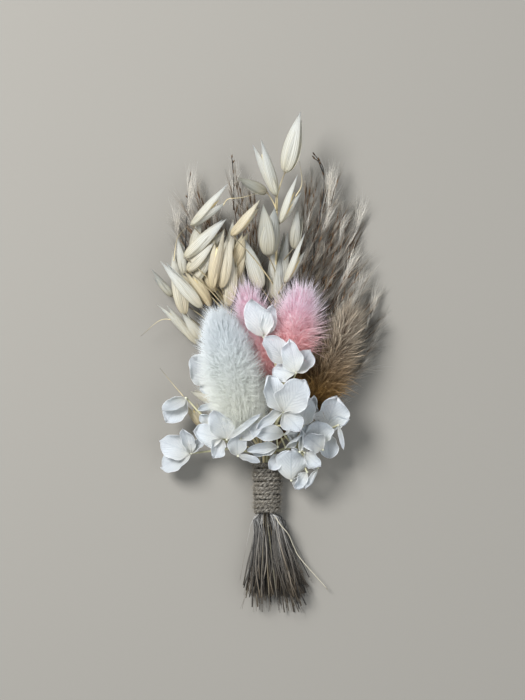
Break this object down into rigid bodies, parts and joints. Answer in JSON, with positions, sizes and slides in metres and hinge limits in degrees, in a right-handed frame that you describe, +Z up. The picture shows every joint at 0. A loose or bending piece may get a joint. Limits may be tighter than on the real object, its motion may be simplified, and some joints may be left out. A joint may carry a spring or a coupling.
{
  "type": "dried-flower boutonniere",
  "caption": "Flat-lying dried-flower boutonniere: oats, bunny tails, reed plumes and hydrangea florets, bound with jute twine over a fan of cut stalks.",
  "frame": {"origin": "on the table, under the middle of the whole boutonniere", "axes": "+Y from the cut stalk ends to the flower heads, +Z up from the table, away from the pressed back"},
  "size_m": [0.0828, 0.173, 0.0308],
  "materials": {
    "twine": "coarse twisted jute with loose fibres",
    "white_tail": "soft bleached hair",
    "pink_tail": "soft dyed hair, deeper pink inside",
    "brown_tail": "soft tan hair",
    "sepal": "thin bleached petal with fine veins",
    "oat": "papery pale husk with fine ribs",
    "reed": "silky grey-brown hair on dark husks",
    "stalk": "dry grass straw"
  },
  "bodies": {
    "root": {"twine_wrap": "twine", "white_bunny_tail": "white_tail", "right_pink_bunny_tail": "pink_tail", "left_pink_bunny_tail": "pink_tail", "brown_bunny_tail": "brown_tail", "front_hydrangea": "sepal", "left_hydrangea": "sepal", "right_hydrangea": "sepal", "upper_oats": "oat", "left_oats": "oat", "lower_oats": "oat", "upper_reeds": "reed", "right_reeds": "reed", "left_reeds": "reed", "back_reeds": "reed", "grass_stalks_1": "stalk", "grass_stalks_2": "stalk", "grass_stalks_3": "stalk", "grass_stalks_4": "stalk", "grass_stalks_5": "stalk"}
  },
  "joints": []
}
